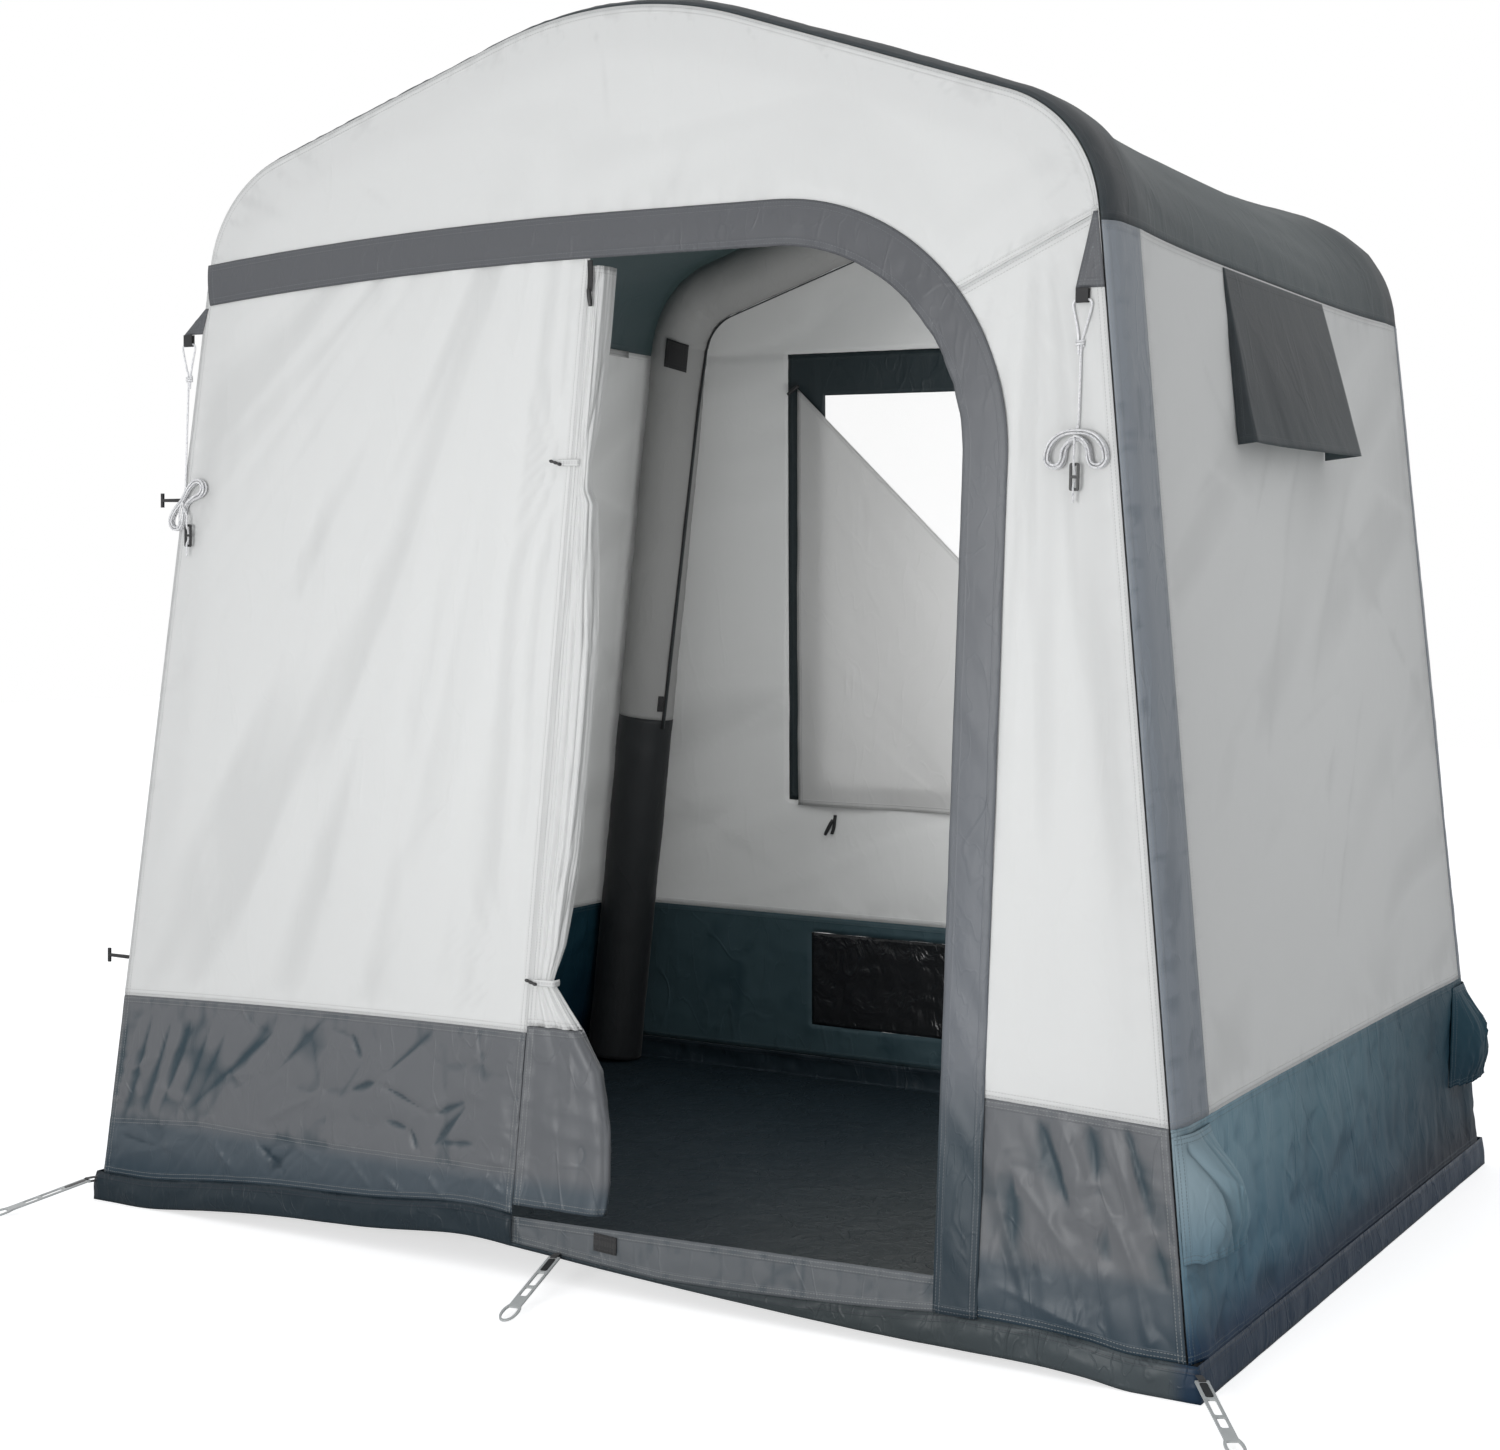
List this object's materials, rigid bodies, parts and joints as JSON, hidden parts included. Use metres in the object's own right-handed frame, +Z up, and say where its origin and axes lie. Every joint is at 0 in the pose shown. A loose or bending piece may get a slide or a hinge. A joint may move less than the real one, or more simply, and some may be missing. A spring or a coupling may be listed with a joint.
{
  "type": "inflatable storage tent",
  "caption": "Inflatable storage tent on two air arches, with a drawn front door, rear window with curtain, hooded side vent, guy lines and peg ladders.",
  "frame": {"origin": "on the ground at the middle of the base", "axes": "+X to the right as one faces the door, -Y out of the door, +Z up"},
  "size_m": [2.1777, 1.8181, 1.965],
  "materials": {
    "white_cloth": "off-white coated polyester, slightly satin",
    "dark_cloth": "dark slate coated polyester",
    "skirt": "slate blue-grey coated polyester with a faint blue sheen",
    "groundsheet": "near-black coated groundsheet",
    "sleeve_cloth": "mid-grey sleeve cloth",
    "boot_cloth": "black reinforced sleeve cloth",
    "bladder_film": "clear soft film of the air tubes",
    "clear_film": "clear window film",
    "black_film": "shiny crinkled black film",
    "curtain_cloth": "thin light grey window curtain",
    "black_plastic": "moulded black plastic",
    "webbing": "black woven tape",
    "ladder_plastic": "milky clear moulded plastic",
    "vent_mesh": "fine dark mesh",
    "guy_rope": "white braided cord with grey flecks"
  },
  "bodies": {
    "tent": {"groundsheet": "groundsheet", "roof": "dark_cloth", "skirt_left": "skirt", "skirt_right": "skirt", "leg_band_front_left": "dark_cloth", "leg_band_front_right": "dark_cloth", "leg_band_rear_left": "dark_cloth", "leg_band_rear_right": "dark_cloth", "wall_left": "white_cloth", "wall_right": "white_cloth", "gable_front": "white_cloth", "front_wall_right": "white_cloth", "front_wall_left": "white_cloth", "skirt_front_left": "skirt", "skirt_front_right": "skirt", "door_sill": "skirt", "storm_flap": "dark_cloth", "wall_back": "white_cloth", "skirt_back": "skirt", "hatch_film": "black_film", "window_border": "dark_cloth", "window_pane": "clear_film", "beam_sleeve_front": "sleeve_cloth", "beam_sleeve_rear": "sleeve_cloth", "sleeve_boot_left": "boot_cloth", "sleeve_boot_right": "boot_cloth", "air_bladder_front": "bladder_film", "air_bladder_rear": "bladder_film", "air_valve_front": "ladder_plastic", "air_valve_rear": "ladder_plastic", "vent_mesh": "vent_mesh", "vent_hood": "dark_cloth", "peg_tab_front_left": "webbing", "peg_tab_front_right": "webbing", "peg_tab_front_middle": "webbing", "guy_line_left": "guy_rope", "guy_line_right": "guy_rope", "guy_hank_left": "guy_rope", "guy_hank_right": "guy_rope", "guy_runner_left": "black_plastic", "guy_runner_right": "black_plastic", "guy_strap_left": "webbing", "guy_strap_right": "webbing", "guy_tab_left": "dark_cloth", "guy_tab_right": "dark_cloth"},
    "door": {"door_roll": "white_cloth", "door_roll_skirt": "skirt", "door_toggle_upper": "black_plastic", "door_toggle_lower": "black_plastic"},
    "edge_toggle_upper": {"edge_toggle_upper": "black_plastic"},
    "edge_toggle_lower": {"edge_toggle_lower": "black_plastic"},
    "curtain": {"window_curtain": "curtain_cloth"},
    "valve_flap_front": {"valve_flap_front": "skirt"},
    "valve_flap_rear": {"valve_flap_rear": "skirt"},
    "valve_cap_front": {"valve_cap_front": "black_plastic"},
    "valve_cap_rear": {"valve_cap_rear": "black_plastic"},
    "peg_ladder_front_left": {"peg_ladder_front_left": "ladder_plastic"},
    "peg_ladder_front_right": {"peg_ladder_front_right": "ladder_plastic"},
    "peg_ladder_front_middle": {"peg_ladder_front_middle": "ladder_plastic"},
    "zip_slider": {"sleeve_zip_slider": "black_plastic"}
  },
  "joints": [
    {"name": "door_slide", "type": "slide", "parent": "tent", "child": "door", "axis": [1, 0, 0], "range_m": [0, 0.58]},
    {"name": "edge_toggle_upper_swing", "type": "hinge", "parent": "tent", "child": "edge_toggle_upper", "pos_m": [-0.85083, -0.75227, 1.2089], "axis": [0, 0, 1], "range_deg": [-50, 50], "stiffness_Nm_per_rad": 0.01},
    {"name": "edge_toggle_lower_swing", "type": "hinge", "parent": "tent", "child": "edge_toggle_lower", "pos_m": [-0.94464, -0.78196, 0.4239], "axis": [0, 0, 1], "range_deg": [-50, 50], "stiffness_Nm_per_rad": 0.01},
    {"name": "curtain_fold", "type": "hinge", "parent": "tent", "child": "curtain", "pos_m": [0, 0.77677, 0.605], "axis": [1, 0, 0], "range_deg": [0, 100]},
    {"name": "valve_flap_front_lift", "type": "hinge", "parent": "tent", "child": "valve_flap_front", "pos_m": [0.95976, -0.73755, 0.35019], "axis": [0, -1, 0], "range_deg": [0, 100]},
    {"name": "valve_flap_rear_lift", "type": "hinge", "parent": "tent", "child": "valve_flap_rear", "pos_m": [0.95976, 0.73755, 0.35019], "axis": [0, -1, 0], "range_deg": [0, 100]},
    {"name": "valve_cap_front_turn", "type": "hinge", "parent": "tent", "child": "valve_cap_front", "pos_m": [0.98253, -0.73382, 0.2667], "axis": [0.9929, 0, 0.1187], "range_deg": [0, 360]},
    {"name": "valve_cap_rear_turn", "type": "hinge", "parent": "tent", "child": "valve_cap_rear", "pos_m": [0.98253, 0.73382, 0.2667], "axis": [0.9929, 0, 0.1187], "range_deg": [0, 360]},
    {"name": "peg_ladder_front_right_lift", "type": "hinge", "parent": "tent", "child": "peg_ladder_front_right", "pos_m": [1.00521, -0.82271, 0.036], "axis": [-0.829, -0.5593, 0], "range_deg": [0, 80]},
    {"name": "peg_ladder_front_left_lift", "type": "hinge", "parent": "tent", "child": "peg_ladder_front_left", "pos_m": [-1.0003, -0.82498, 0.036], "axis": [-0.9627, 0.2707, 0], "range_deg": [0, 80]},
    {"name": "peg_ladder_front_middle_lift", "type": "hinge", "parent": "tent", "child": "peg_ladder_front_middle", "pos_m": [-0.02576, -0.82491, 0.04644], "axis": [-0.9817, -0.1903, 0], "range_deg": [0, 80]},
    {"name": "sleeve_zip_slide", "type": "slide", "parent": "tent", "child": "zip_slider", "axis": [0.1186, -0.0381, 0.9922], "range_m": [0, 0.6]}
  ]
}
